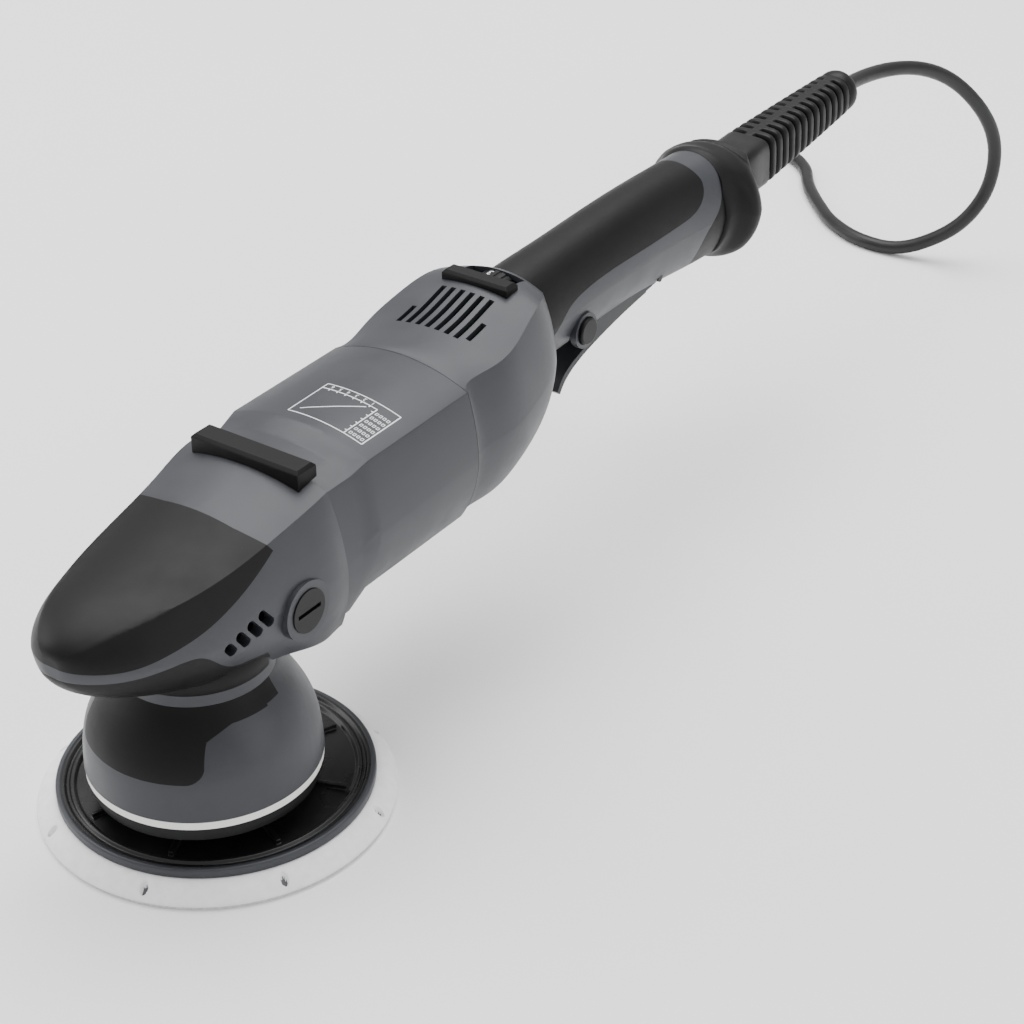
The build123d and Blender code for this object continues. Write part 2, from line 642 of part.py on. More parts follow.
def sector(outer, inner, start, end, low_angle, high_angle):
    """Part of a hoop about the motor axis, between two angles measured from +X."""
    span = high_angle - low_angle
    face = make_face([
        Line((inner, 0), (outer, 0)),
        CenterArc((0, 0), outer, 0, span),
        Line((outer * cos(radians(span)), outer * sin(radians(span))),
             (inner * cos(radians(span)), inner * sin(radians(span)))),
        CenterArc((0, 0), inner, 0, span),
    ])
    piece = Rot(0, 0, low_angle) * extrude(face, end - start)
    return Pos(0, end, MOTOR_Z) * Rot(90, 0, 0) * piece


def field_coil(middle):
    """Racetrack winding round one pole: two sides in the slots and two end turns."""
    coil = sector(30.0, 24.5, STATOR_FRONT - 3.5, STATOR_BACK + 5, middle - 62, middle - 44)
    coil += sector(30.0, 24.5, STATOR_FRONT - 3.5, STATOR_BACK + 5, middle + 44, middle + 62)
    coil += sector(30.0, 24.5, STATOR_FRONT - 3.5, STATOR_FRONT - 0.3, middle - 62, middle + 62)
    coil += sector(30.0, 24.5, STATOR_BACK + 0.3, STATOR_BACK + 5, middle - 62, middle + 62)
    return coil.solid()


def make_motor():
    stator = hoop(STATOR_RADIUS, STATOR_BORE, STATOR_FRONT, STATOR_BACK)
    for middle in (90, 270):
        for side in (-53, 53):
            low = middle + side - 10
            stator -= sector(30.3, 24.2, STATOR_FRONT - 1, STATOR_BACK + 1, low, low + 20)
    save("stator_core", stator.solid())
    save("field_coils", Compound([field_coil(90), field_coil(270)]))

    shaft = barrel(SHAFT_RADIUS, 32, 166) + barrel(3.0, 18.5, 32)
    save("armature_shaft", shaft.solid())
    core = hoop(CORE_RADIUS, SHAFT_RADIUS + 0.05, 86, 124)
    for i in range(CORE_SLOTS):
        slot = Rot(0, 360 / CORE_SLOTS * i, 0) * Pos(17.5, 105, 0) * Box(6, 50, 2.4)
        core -= place(slot, z=MOTOR_Z)
    save("armature_core", core.solid())
    ends = [hoop(17.0, 6.5, 81.6, 85.8), hoop(17.0, 6.5, 124.2, 131)]
    save("armature_windings", Compound([end.solid() for end in ends]))
    bars = hoop(11.5, SHAFT_RADIUS + 0.05, 134, 149)
    for i in range(COMMUTATOR_BARS):
        groove = Rot(0, 360 / COMMUTATOR_BARS * i, 0) * Pos(11.5, 141.5, 0) * Box(1.4, 20, 0.5)
        bars -= place(groove, z=MOTOR_Z)
    save("commutator", bars.solid())
    fan = hoop(11.0, SHAFT_RADIUS + 0.05, 72, 80.5) + hoop(29.5, 10.0, 72, 73.6)
    for i in range(FAN_BLADES):
        blade = Rot(0, 360 / FAN_BLADES * i, 0) * Pos(20, 76.5, 0) * Box(18.5, 7, 1.3)
        fan += place(blade, z=MOTOR_Z)
    save("cooling_fan", fan.solid())
    pinion = bevel_wheel(PINION_TEETH, 90 - GEAR_CONE, 3.05, -31.5, 7.0, -1.570796, 0.12)
    save("bevel_pinion", (Pos(0, 0, MOTOR_Z) * Rot(90, 0, 0) * pinion).solid())

    front = Rot(90, 0, 0) * ball_bearing(SHAFT_RADIUS + BEARING_GAP, 13.0, 8.0)
    rear = Rot(90, 0, 0) * ball_bearing(SHAFT_RADIUS + BEARING_GAP, 13.0, 8.0)
    save("armature_bearing_front", place(front, y=57.0, z=MOTOR_Z))
    save("armature_bearing_rear", place(rear, y=159.0, z=MOTOR_Z))

    holders, brushes, springs = [], [], []
    for side in (-1, 1):
        low_x, high_x = sorted((side * 13.0, side * 34.5))
        tube = block((low_x, 136.5, 110.2), (high_x, 146.5, 119.8))
        holders.append((tube - block((-50, 138.0, 111.7), (50, 145.0, 118.3))).solid())
        low_x, high_x = sorted((side * 12.0, side * 25.0))
        brushes.append(block((low_x, 138.3, 112.0), (high_x, 144.7, 118.0)).solid())
        coil = coil_spring(2.2, 0.35, 5, 9.5)
        springs.append((Pos(side * 25.4, 141.5, MOTOR_Z) * Rot(0, side * 90, 0) * coil).solid())
    save("brush_holders", Compound(holders))
    save("carbon_brushes", Compound(brushes))
    save("brush_springs", Compound(springs))


# ---------------------------------------------------------------- controls

DIAL_NOTCHES = 24


def trigger_outline():
    """Side outline of the paddle: a thin plate whose free front end curls down."""
    low = Spline((238.5, 90.5), (243.5, 96.2), (252, 100.8), (270, 106), (290, 110), (311, 113.0))
    high = Spline((311, 115.8), (290, 112.9), (270, 109), (252, 104), (242.5, 99.6), (236.6, 92.4))
    return [low, Line(low @ 1, high @ 0), high, Line(high @ 1, low @ 0)]


def make_trigger():
    paddle = side_slab(trigger_outline(), TRIGGER_HALF)
    cheek_line = Polyline((258, 105), (311, 113.6), (316, 114.2), (322, 117), (319, 122.4), (312, 122), (270, 117),
                          (259, 112), close=True)
    cheeks = side_slab([cheek_line], TRIGGER_HALF) - block((-9.6, 240, 90), (9.6, 330, 130))
    eyes = cross_rod(4.0, -TRIGGER_HALF, -7, TRIGGER_PIVOT_Y, TRIGGER_PIVOT_Z)
    eyes += cross_rod(4.0, 7, TRIGGER_HALF, TRIGGER_PIVOT_Y, TRIGGER_PIVOT_Z)
    bore = cross_rod(1.86, -20, 20, TRIGGER_PIVOT_Y, TRIGGER_PIVOT_Z)
    save("trigger", (paddle + cheeks + eyes - bore).solid())
    save("trigger_pin", cross_rod(1.8, -15.5, 15.5, TRIGGER_PIVOT_Y, TRIGGER_PIVOT_Z))
    coil = Rot(0, 90, 0) * coil_spring(2.9, 0.5, 6, 9)
    save("trigger_spring", place(coil, -4.5, TRIGGER_PIVOT_Y, TRIGGER_PIVOT_Z).solid())


def make_lock_button():
    button = cross_rod(LOCK_RADIUS, 14.0, 22.8, LOCK_Y, LOCK_Z)
    button = fillet(button.edges().group_by(Axis.X)[-1], 0.9)
    button -= cross_rod(4.6, 13, 20.2, LOCK_Y, LOCK_Z)
    save("lock_button", button.solid())
    coil = Rot(0, 90, 0) * coil_spring(3.6, 0.4, 4, 4.8)
    save("lock_button_spring", place(coil, 14.4, LOCK_Y, LOCK_Z).solid())


def make_electrics():
    switch = block((-9, 254, 127), (9, 286, 146)) + block((-4, 262, 124.6), (4, 270, 127))
    save("switch_block", switch.solid())
    dial = barrel(DIAL_RADIUS, DIAL_Y - DIAL_WIDTH / 2, DIAL_Y + DIAL_WIDTH / 2, DIAL_Z)
    dial -= barrel(2.05, DIAL_Y - 9, DIAL_Y + 9, DIAL_Z)
    for i in range(DIAL_NOTCHES):
        notch = Rot(0, 360 / DIAL_NOTCHES * (i + 0.5), 0) * Pos(DIAL_RADIUS, DIAL_Y, 0) * Box(0.9, 12, 0.9)
        dial -= place(notch, z=DIAL_Z)
    save("speed_dial", dial.solid())
    board = block((-13, 194.6, 128), (13, 196.2, 156)) + block((-9, 188, 132), (9, 194.6, 142))
    board += barrel(2.0, 196, 209.5, DIAL_Z)
    save("speed_board", board.solid())


def make_fasteners():
    bar = block((-14, CLAMP_Y - 4, CLAMP_Z), (14, CLAMP_Y + 4, CLAMP_Z + 4))
    clamp = [bar.solid()]
    for x in (-11.5, 11.5):
        clamp.append(disc(2.8, CLAMP_Z + 4, CLAMP_Z + 6.2, x, CLAMP_Y).solid())
    save("cord_clamp", Compound(clamp))
    screws = [cross_screw(x, REAR_SCREW_Y, REAR_SCREW_Z) for x in (-REAR_SCREW_X, REAR_SCREW_X)]
    screws.append(cross_screw(0, HANDLE_SCREW_Y, HANDLE_SCREW_Z))
    save("housing_screws", Compound(screws))


# ---------------------------------------------------------------- cord

RELIEF_END = (
    0.0,
    RELIEF_START[1] + RELIEF_LENGTH * cos(radians(RELIEF_RISE)),
    RELIEF_START[2] + RELIEF_LENGTH * sin(radians(RELIEF_RISE)),
)

# Out of the strain relief, down in one wide loop to the floor, round behind the handle, then to the hank.
CORD_ROUTE = [
    RELIEF_END,
    (-3.5, 549.5, 141.5),
    (7.5, 585.5, 138),
    (19.5, 613.5, 125),
    (32.5, 632.5, 102),
    (38, 643.5, 78.5),
    (37, 643.5, 53),
    (29.5, 638, 34),
    (15, 635, 18),
    (-10.5, 627.5, 4),
    (-38, 627, 4),
    (-63, 640, 4),
    (-79.5, 655.5, 4),
    (-102, 679.5, 4),
    (-116.5, 704, 4),
    (-137.5, 718, 4),
    (-163, 718, 4),
    (-183.5, 702.5, 4),
    (-191.5, 677.5, 4),
    (-190, 648, 4),
    (-184, 612, 4),
    (-173, 565, 4),
    (-164, 515, 4),
    (-150, 462, 4),
    (-128, 412, 4),
    (-104, 374, 4.6),
    (-90, 344, 5.2),
    (-88, 320, 5.2),
]

HANK_X = -120.0
HANK_Y = 246.0
HANK_RUN = 120.0
HANK_OUTER = 36.0
HANK_INNER = 20.0
HANK_LOW = 1.2
HANK_HIGH = 33.2
TIE = 1.2
PLUG_X = -88.0
PLUG_Z = 13.2
PLUG_BACK = 125.0
PLUG_FRONT = 85.0
SLEEVE = 45.0
PIN_LENGTH = 19.0
PIN_RADIUS = 2.4
PIN_SPACING = 19.0


def run_length(a, b):
    return (Vector(*b) - Vector(*a)).length


def bend_radii(route):
    """The largest arc that each corner of the route leaves room for."""
    radii = []
    for before, here, after in zip(route, route[1:], route[2:]):
        turn = (Vector(*here) - Vector(*before)).get_angle(Vector(*after) - Vector(*here))
        shorter = min(run_length(before, here), run_length(here, after))
        radii.append(0.45 * shorter / tan(radians(turn) / 2))
    return radii


def stadium(run, radius, low, high):
    """Upright solid of a racetrack outline with its long axis along Y."""
    outline = Rot(0, 0, 90) * SlotOverall(run + 2 * radius, 2 * radius)
    return Pos(HANK_X, HANK_Y, low) * extrude(outline, high - low)


def make_cord():
    radii = bend_radii(CORD_ROUTE)
    path = FilletPolyline(*CORD_ROUTE, radius=radii)
    tube = sweep(Plane(path @ 0, z_dir=path % 0) * Circle(CORD_RADIUS), path)
    save("cord", tube.solid())
    print("cord radii", [round(radius) for radius in radii])
    print("cord length", round(path.length), "volume ratio",
          round(tube.volume / (path.length * 3.14159 * CORD_RADIUS ** 2), 4))
    hank = stadium(HANK_RUN, HANK_OUTER, HANK_LOW, HANK_HIGH) - stadium(HANK_RUN, HANK_INNER, 0, 40)
    save("cord_hank", hank.solid())
    half = HANK_OUTER + 0.1
    band = block((HANK_X - half - TIE, HANK_Y - 5, 0), (HANK_X + half + TIE, HANK_Y + 5, HANK_HIGH + TIE + 0.1))
    band -= block((HANK_X - half, HANK_Y - 6, HANK_LOW), (HANK_X + half, HANK_Y + 6, HANK_HIGH + 0.1))
    save("cord_tie", band.solid())


def make_plug():
    """Two-pin plug with a ribbed sleeve, its pins pointing along -Y."""
    body = Pos(PLUG_X, PLUG_BACK, PLUG_Z) * Rot(90, 0, 0) * extrude(RectangleRounded(35, 26, 9), 40)
    sleeve = Pos(PLUG_X, PLUG_BACK + SLEEVE / 2, PLUG_Z) * Rot(-90, 0, 0) * Cone(7.5, 5.0, SLEEVE)
    save("plug_body", (body + sleeve).solid())
    pins = []
    for x in (PLUG_X - PIN_SPACING / 2, PLUG_X + PIN_SPACING / 2):
        pins.append(barrel(PIN_RADIUS, PLUG_FRONT - PIN_LENGTH, PLUG_FRONT, PLUG_Z, x).solid())
    save("plug_pins", Compound(pins))


make_head()
make_shroud()
make_motor_housing()
make_rest_bars()
make_rear_housing()
make_handle()
make_strain_relief()
make_spindle_train()
make_pad()
make_motor()
make_trigger()
make_lock_button()
make_electrics()
make_fasteners()
make_cord()
make_plug()
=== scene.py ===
import json
from math import cos, degrees, pi, radians, sin

import bmesh
import bpy
from mathutils import Matrix, Vector
from mathutils.bvhtree import BVHTree


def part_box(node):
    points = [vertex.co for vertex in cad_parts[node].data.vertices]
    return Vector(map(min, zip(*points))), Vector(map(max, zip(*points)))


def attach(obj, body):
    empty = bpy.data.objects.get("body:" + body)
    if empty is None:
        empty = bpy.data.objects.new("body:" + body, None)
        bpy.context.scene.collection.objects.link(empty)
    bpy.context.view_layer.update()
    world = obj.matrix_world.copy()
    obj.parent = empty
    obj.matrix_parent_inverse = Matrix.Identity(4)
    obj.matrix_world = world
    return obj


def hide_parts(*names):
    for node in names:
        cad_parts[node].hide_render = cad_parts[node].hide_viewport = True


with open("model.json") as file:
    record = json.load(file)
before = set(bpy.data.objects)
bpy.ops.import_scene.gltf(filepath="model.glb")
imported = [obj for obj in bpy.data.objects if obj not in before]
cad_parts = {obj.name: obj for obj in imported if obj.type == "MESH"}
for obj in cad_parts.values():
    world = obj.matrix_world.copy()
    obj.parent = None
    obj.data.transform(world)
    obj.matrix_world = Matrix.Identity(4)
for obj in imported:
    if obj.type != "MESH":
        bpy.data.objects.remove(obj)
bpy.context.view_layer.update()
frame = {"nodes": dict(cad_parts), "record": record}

scene = bpy.context.scene
nodes = frame["nodes"]
MM = 0.001


# ---------------------------------------------------------------- camera

CAMERA_PLACE = Vector((0.561703, -0.560747, 0.626137))
CAMERA_TURN = 35.87
CAMERA_TILT = 58.30
CAMERA_ROLL = -0.756
CAMERA_LENS = 84.39
SENSOR_WIDTH = 36.0
FARTHEST = 20.0


def make_camera():
    data = bpy.data.cameras.new("camera")
    data.lens = CAMERA_LENS
    data.sensor_width = SENSOR_WIDTH
    data.clip_end = FARTHEST
    camera = bpy.data.objects.new("camera", data)
    scene.collection.objects.link(camera)
    turn = Matrix.Rotation(radians(CAMERA_TURN), 4, "Z") @ Matrix.Rotation(radians(CAMERA_TILT), 4, "X")
    turn = turn @ Matrix.Rotation(radians(CAMERA_ROLL), 4, "Z")
    camera.matrix_world = Matrix.Translation(CAMERA_PLACE) @ turn
    scene.camera = camera


make_camera()


# ---------------------------------------------------------------- materials

NOISE_LOW = 0.3
NOISE_HIGH = 0.7


def field(tree, scale, detail=2.0, stretch=(1, 1, 1)):
    """Noise over the object's own coordinates; scale is in features per metre."""
    where = tree.nodes.new("ShaderNodeTexCoord")
    spread = tree.nodes.new("ShaderNodeMapping")
    spread.inputs["Scale"].default_value = stretch
    noise = tree.nodes.new("ShaderNodeTexNoise")
    noise.inputs["Scale"].default_value = scale
    noise.inputs["Detail"].default_value = detail
    tree.links.new(where.outputs["Object"], spread.inputs["Vector"])
    tree.links.new(spread.outputs["Vector"], noise.inputs["Vector"])
    return noise.outputs["Fac"]


def spread_over(tree, source, low, high):
    """The noise's usual range as a number from low to high."""
    node = tree.nodes.new("ShaderNodeMapRange")
    node.inputs["From Min"].default_value = NOISE_LOW
    node.inputs["From Max"].default_value = NOISE_HIGH
    node.inputs["To Min"].default_value = low
    node.inputs["To Max"].default_value = high
    tree.links.new(source, node.inputs["Value"])
    return node.outputs["Result"]


def two_tones(tree, source, dark, light):
    """The noise's usual range as a colour from dark to light."""
    ramp = tree.nodes.new("ShaderNodeValToRGB")
    ramp.color_ramp.elements[0].position = NOISE_LOW
    ramp.color_ramp.elements[1].position = NOISE_HIGH
    ramp.color_ramp.elements[0].color = (*dark, 1)
    ramp.color_ramp.elements[1].color = (*light, 1)
    tree.links.new(source, ramp.inputs["Fac"])
    return ramp.outputs["Color"]


def bumped(tree, height, distance):
    bump = tree.nodes.new("ShaderNodeBump")
    bump.inputs["Distance"].default_value = distance
    bump.inputs["Strength"].default_value = 1.0
    tree.links.new(height, bump.inputs["Height"])
    return bump.outputs["Normal"]


def finish(name, dark, light, rough, grain, depth, mottle=60.0, stretch=(1, 1, 1), **shader):
    """A material: two close tones in soft patches, a range of roughness, and a fine grain in relief."""
    material = bpy.data.materials.new(name)
    material.use_nodes = True
    tree = material.node_tree
    surface = tree.nodes["Principled BSDF"]
    patches = field(tree, mottle, 3.0)
    fine = field(tree, grain, 2.0, stretch)
    tree.links.new(two_tones(tree, patches, dark, light), surface.inputs["Base Color"])
    tree.links.new(spread_over(tree, patches, rough[0], rough[1]), surface.inputs["Roughness"])
    tree.links.new(bumped(tree, fine, depth), surface.inputs["Normal"])
    for key, value in shader.items():
        surface.inputs[key.replace("_", " ")].default_value = value
    return material


# Two tones, the range of roughness, grains in a metre, the grain's depth in metres, and shader values.
LOOKS = {
    "grey_plastic": dict(
        dark=(0.031, 0.033, 0.039), light=(0.037, 0.039, 0.046),
        rough=(0.36, 0.46), grain=5200, depth=9e-6, Specular_IOR_Level=0.36,
    ),
    "soft_rubber": dict(
        dark=(0.0026, 0.0024, 0.0024), light=(0.0038, 0.0035, 0.0035),
        rough=(0.44, 0.54), grain=3800, depth=12e-6, Specular_IOR_Level=0.20,
    ),
    "black_plastic": dict(
        dark=(0.0040, 0.0040, 0.0044), light=(0.0060, 0.0060, 0.0064),
        rough=(0.36, 0.46), grain=4200, depth=9e-6, Specular_IOR_Level=0.22,
    ),
    "dark_plastic": dict(
        dark=(0.018, 0.019, 0.021), light=(0.024, 0.025, 0.028),
        rough=(0.38, 0.48), grain=4600, depth=9e-6, Specular_IOR_Level=0.32,
    ),
    "cord_rubber": dict(
        dark=(0.0060, 0.0060, 0.0060), light=(0.0095, 0.0095, 0.0095),
        rough=(0.36, 0.48), grain=2200, depth=14e-6, mottle=140.0, Specular_IOR_Level=0.36,
    ),
    "white_seal": dict(
        dark=(0.80, 0.82, 0.76), light=(0.88, 0.89, 0.84),
        rough=(0.34, 0.44), grain=1500, depth=8e-6,
    ),
    "plate_plastic": dict(
        dark=(0.0050, 0.0050, 0.0054), light=(0.0075, 0.0075, 0.0080),
        rough=(0.24, 0.34), grain=2600, depth=8e-6, Specular_IOR_Level=0.40,
    ),
    "pad_foam": dict(
        dark=(0.84, 0.84, 0.85), light=(0.92, 0.92, 0.93),
        rough=(0.78, 0.92), grain=2600, depth=30e-6, mottle=260.0,
    ),
    "hook_fabric": dict(
        dark=(0.52, 0.52, 0.54), light=(0.72, 0.72, 0.74),
        rough=(0.85, 0.97), grain=1700, depth=220e-6, mottle=900.0, Sheen_Weight=0.5, Sheen_Roughness=0.5,
    ),
    "cast_aluminium": dict(
        dark=(0.50, 0.50, 0.52), light=(0.62, 0.62, 0.64),
        rough=(0.38, 0.58), grain=900, depth=30e-6, Metallic=1.0,
    ),
    "steel": dict(
        dark=(0.48, 0.48, 0.49), light=(0.60, 0.60, 0.61),
        rough=(0.20, 0.36), grain=700, depth=6e-6, stretch=(1, 1, 12), Metallic=1.0,
    ),
    "core_iron": dict(
        dark=(0.16, 0.16, 0.17), light=(0.26, 0.26, 0.27),
        rough=(0.40, 0.60), grain=2000, depth=16e-6, stretch=(0.02, 1, 0.02), Metallic=1.0,
    ),
    "copper_wire": dict(
        dark=(0.45, 0.16, 0.07), light=(0.62, 0.26, 0.12),
        rough=(0.24, 0.40), grain=1600, depth=90e-6, stretch=(1, 0.05, 1), Metallic=1.0, Coat_Weight=0.4,
    ),
    "brass": dict(
        dark=(0.60, 0.42, 0.16), light=(0.74, 0.55, 0.26),
        rough=(0.22, 0.38), grain=900, depth=5e-6, Metallic=1.0,
    ),
    "carbon": dict(
        dark=(0.018, 0.018, 0.019), light=(0.032, 0.032, 0.034),
        rough=(0.50, 0.68), grain=1800, depth=12e-6,
    ),
    "circuit_board": dict(
        dark=(0.010, 0.09, 0.035), light=(0.016, 0.13, 0.05),
        rough=(0.30, 0.44), grain=1200, depth=10e-6,
    ),
    "blackened_steel": dict(
        dark=(0.010, 0.010, 0.011), light=(0.016, 0.016, 0.017),
        rough=(0.30, 0.44), grain=900, depth=6e-6, Metallic=0.6,
    ),
    # The darker grey below is painted shade for the inside of the foam's pockets, not a colour of the foam.
    "foam_pocket_painted_shade": dict(
        dark=(0.10, 0.10, 0.11), light=(0.15, 0.15, 0.16),
        rough=(0.80, 0.92), grain=2600, depth=30e-6,
    ),
    "nickel": dict(
        dark=(0.62, 0.60, 0.56), light=(0.72, 0.70, 0.66),
        rough=(0.14, 0.26), grain=900, depth=3e-6, Metallic=1.0,
    ),
}
FINISHES = {name: finish(name, **look) for name, look in LOOKS.items()}
WHITE_PRINT = finish("white_print", (0.72, 0.73, 0.75), (0.80, 0.81, 0.83), (0.45, 0.60), 3000, 3e-6)


BLACKENED = ("housing_screws", "trigger_pin")


def paint_nodes():
    """Every kept solid takes the finish of its slot in the record, and a few steel ones are blackened."""
    for part in frame["record"]["subparts"]:
        mesh = nodes[part["node"]].data
        mesh.materials.clear()
        look = "blackened_steel" if part["node"] in BLACKENED else part["material_slot"]
        mesh.materials.append(FINISHES[look])


# ---------------------------------------------------------------- pieces

def put(name, mesh_or_curve, material, body):
    """A new visible piece, which moves with a body."""
    piece = bpy.data.objects.new(name, mesh_or_curve)
    scene.collection.objects.link(piece)
    piece.data.materials.clear()
    piece.data.materials.append(material)
    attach(piece, body)
    return piece


def smooth(mesh):
    for polygon in mesh.polygons:
        polygon.use_smooth = True
    return mesh


def mesh_of(name, points, faces):
    mesh = bpy.data.meshes.new(name)
    mesh.from_pydata([tuple(point) for point in points], [], faces)
    mesh.update()
    return smooth(mesh)


def tube_faces(rings, around):
    """Quads between rings of points, each ring closed on itself."""
    faces = []
    for ring in range(rings - 1):
        for i in range(around):
            after = (i + 1) % around
            low = ring * around
            faces.append((low + i, low + after, low + around + after, low + around + i))
    return faces


def eased(value, low, high):
    """0 below low, 1 above high, and a smooth step between."""
    share = min(max((value - low) / (high - low), 0.0), 1.0)
    return share * share * (3 - 2 * share)


# ---------------------------------------------------------------- cord

CORD_RADIUS = 0.004
CORD_EXIT = (0.0, 0.5198, 0.1444)
CORD_ROUTE = [
    CORD_EXIT,
    (-0.0035, 0.5495, 0.1415),
    (0.0075, 0.5855, 0.138),
    (0.0195, 0.6135, 0.125),
    (0.0325, 0.6325, 0.102),
    (0.038, 0.6435, 0.0785),
    (0.037, 0.6435, 0.053),
    (0.0295, 0.638, 0.034),
    (0.015, 0.635, 0.018),
    (-0.0105, 0.6275, 0.004),
    (-0.038, 0.627, 0.004),
    (-0.063, 0.64, 0.004),
    (-0.0795, 0.6555, 0.004),
    (-0.102, 0.6795, 0.004),
    (-0.1165, 0.704, 0.004),
    (-0.1375, 0.718, 0.004),
    (-0.163, 0.718, 0.004),
    (-0.1835, 0.7025, 0.004),
    (-0.1915, 0.6775, 0.004),
    (-0.19, 0.648, 0.004),
    (-0.184, 0.612, 0.004),
    (-0.173, 0.565, 0.004),
    (-0.164, 0.515, 0.004),
    (-0.15, 0.462, 0.004),
    (-0.128, 0.412, 0.004),
    (-0.104, 0.374, 0.0046),
    (-0.09, 0.344, 0.0052),
    (-0.088, 0.32, 0.0052),
]
HANK_X = -0.120
HANK_NEAR = 0.186
HANK_FAR = 0.306
HANK_STEP = 0.008
HANK_INNER = 0.024
HANK_OUTER = HANK_INNER + HANK_STEP
HANK_FLOOR = 0.0052
HANK_TURNS = [(HANK_OUTER, 0), (HANK_INNER, 0), (HANK_INNER, 1), (HANK_INNER, 2),
              (HANK_INNER, 3), (HANK_OUTER, 3), (HANK_OUTER, 2), (HANK_OUTER, 1)]
FOLD_ANGLES = (22.5, 67.5, 112.5, 157.5)
SLEEVE_END = 0.168


def hank_points():
    """Turns of the hank: down the right run, round the near fold, up the left run, round the far fold."""
    middle = (HANK_NEAR + HANK_FAR) / 2
    points = []
    for turn, (radius, layer) in enumerate(HANK_TURNS):
        height = HANK_FLOOR + layer * HANK_STEP
        points.append((HANK_X + radius, HANK_FAR, height))
        points.append((HANK_X + radius, middle, height))
        if turn == len(HANK_TURNS) - 1:
            points.append((HANK_X + radius, SLEEVE_END, height))
            break
        points.append((HANK_X + radius, HANK_NEAR, height))
        for angle in FOLD_ANGLES:
            reach = radius / cos(radians(FOLD_ANGLES[0]))
            across = HANK_X + reach * cos(radians(angle))
            points.append((across, HANK_NEAR - reach * sin(radians(angle)), height))
        points.append((HANK_X - radius, HANK_NEAR, height))
        points.append((HANK_X - radius, middle, height))
        points.append((HANK_X - radius, HANK_FAR, height))
        next_radius, next_layer = HANK_TURNS[turn + 1]
        next_height = HANK_FLOOR + next_layer * HANK_STEP
        for step, angle in enumerate(reversed(FOLD_ANGLES)):
            share = (step + 0.5) / len(FOLD_ANGLES)
            reach = (radius + share * (next_radius - radius)) / cos(radians(FOLD_ANGLES[0]))
            rise = height + share * (next_height - height)
            across = HANK_X + reach * cos(radians(angle))
            points.append((across, HANK_FAR + reach * sin(radians(angle)), rise))
    return points


def make_cord():
    """The whole cord, from the strain relief to the plug, as one curve."""
    points = CORD_ROUTE + hank_points()
    curve = bpy.data.curves.new("mains_cord", "CURVE")
    curve.dimensions = "3D"
    spline = curve.splines.new("NURBS")
    spline.points.add(len(points) - 1)
    for control, place in zip(spline.points, points):
        control.co = (*place, 1.0)
    spline.order_u = 3
    spline.use_endpoint_u = True
    spline.resolution_u = 6
    curve.bevel_depth = CORD_RADIUS
    curve.bevel_resolution = 4
    curve.use_fill_caps = True
    cord = put("mains_cord", curve, FINISHES["cord_rubber"], "tool")
    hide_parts("cord", "cord_hank")


make_cord()


# ---------------------------------------------------------------- floor and light

FLOOR_HALF = 6.0
SKY_STRENGTH = 0.80
# Name, place, aim, width and depth, and power in watts.
LIGHTS = [
    ("overhead", (-0.5, 0.7, 2.5), (0, 0.25, 0), (2.8, 2.4), 114.0),
    ("left", (-2.4, -0.8, 1.3), (0, 0.1, 0.1), (1.4, 1.6), 26.0),
    ("right", (2.6, 0.6, 1.1), (0, 0.2, 0.1), (1.2, 1.6), 11.0),
]


def make_floor():
    half = FLOOR_HALF
    mesh = bpy.data.meshes.new("floor")
    corners = [(-half, -half, 0), (half, -half, 0), (half, half, 0), (-half, half, 0)]
    mesh.from_pydata(corners, [], [(0, 1, 2, 3)])
    floor = bpy.data.objects.new("floor", mesh)
    scene.collection.objects.link(floor)
    mesh.materials.append(finish("floor_paper", (0.93, 0.93, 0.93), (0.96, 0.96, 0.96), (0.85, 0.95),
                                 600, 20e-6, mottle=3.0))


def make_light(name, place, aim, size, power):
    data = bpy.data.lights.new(name, "AREA")
    data.shape = "RECTANGLE"
    data.size = size[0]
    data.size_y = size[1]
    data.energy = power
    light = bpy.data.objects.new(name, data)
    scene.collection.objects.link(light)
    light.location = place
    light.rotation_euler = (Vector(aim) - Vector(place)).to_track_quat("-Z", "Y").to_euler()


def make_sky(strength):
    world = bpy.data.worlds.new("studio")
    world.use_nodes = True
    background = world.node_tree.nodes["Background"]
    background.inputs["Color"].default_value = (1.0, 1.0, 1.0, 1)
    background.inputs["Strength"].default_value = strength
    scene.world = world


make_floor()
make_sky(SKY_STRENGTH)
for light_setting in LIGHTS:
    make_light(*light_setting)


# ---------------------------------------------------------------- kept solids

EDGED = ["gear_housing", "nose_rubber_upper", "nose_rubber_lower", "side_socket_plugs", "shroud",
         "shroud_front_inlay", "shroud_rear_web", "motor_housing", "front_rest_bar", "rear_rest_bar",
         "rear_housing_upper", "rear_housing_lower", "handle_shell_upper", "handle_shell_lower",
         "grip_rubber", "pommel", "trigger", "lock_button", "speed_dial", "backing_plate", "plug_body"]
EDGE_WIDTH = 0.30 * MM
EDGE_ANGLE = 32.0
EDGE_WELD = 0.01 * MM


def round_edges():
    """A small round on every sharp edge, which also leaves a fine groove where two mouldings meet."""
    for name in EDGED:
        node = nodes[name]
        weld = node.modifiers.new("weld", "WELD")
        weld.merge_threshold = EDGE_WELD
        bevel = node.modifiers.new("edges", "BEVEL")
        bevel.width = EDGE_WIDTH
        bevel.segments = 2
        bevel.limit_method = "ANGLE"
        bevel.angle_limit = radians(EDGE_ANGLE)
        bevel.use_clamp_overlap = True
        normals = node.modifiers.new("normals", "WEIGHTED_NORMAL")
        normals.keep_sharp = False
        smooth(node.data)


paint_nodes()
round_edges()


# ---------------------------------------------------------------- strain relief

